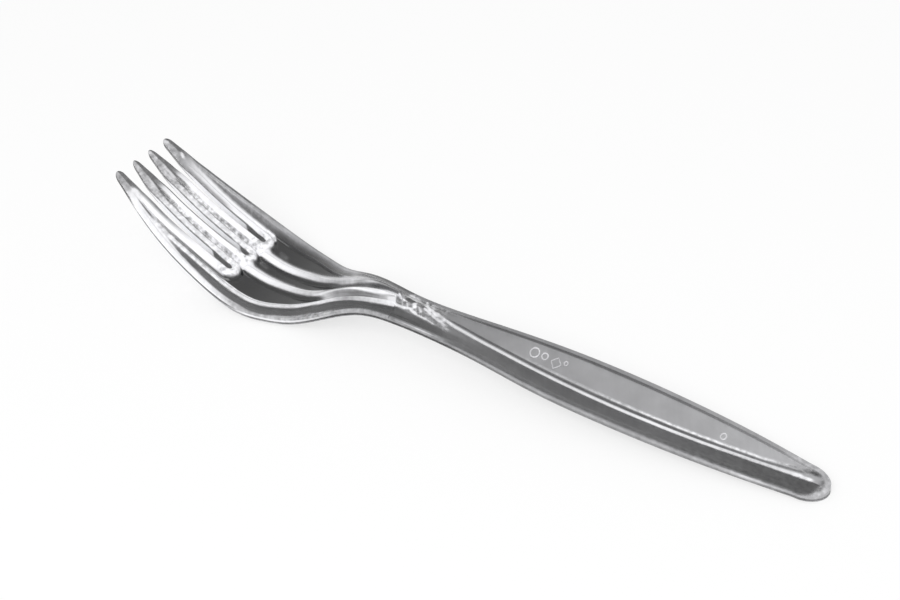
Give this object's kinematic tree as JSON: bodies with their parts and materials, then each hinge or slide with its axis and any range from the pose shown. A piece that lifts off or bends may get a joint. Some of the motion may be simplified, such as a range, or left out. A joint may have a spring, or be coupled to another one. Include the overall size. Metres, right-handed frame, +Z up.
{
  "type": "clear plastic fork",
  "caption": "Disposable table fork moulded in one piece from clear plastic, with ribbed bowl, raised slot borders and a V-shaped handle",
  "frame": {"origin": "centre of the bounding box in X and Y, on the table the fork rests on in Z", "axes": "X along the fork from the tips at -X to the end of the handle at +X, Y across the fork, Z up, face of the fork up"},
  "size_m": [0.185, 0.0288, 0.028],
  "materials": {
    "clear_polystyrene": "clear glossy moulded polystyrene"
  },
  "bodies": {
    "root": {"fork": "clear_polystyrene"}
  },
  "joints": []
}
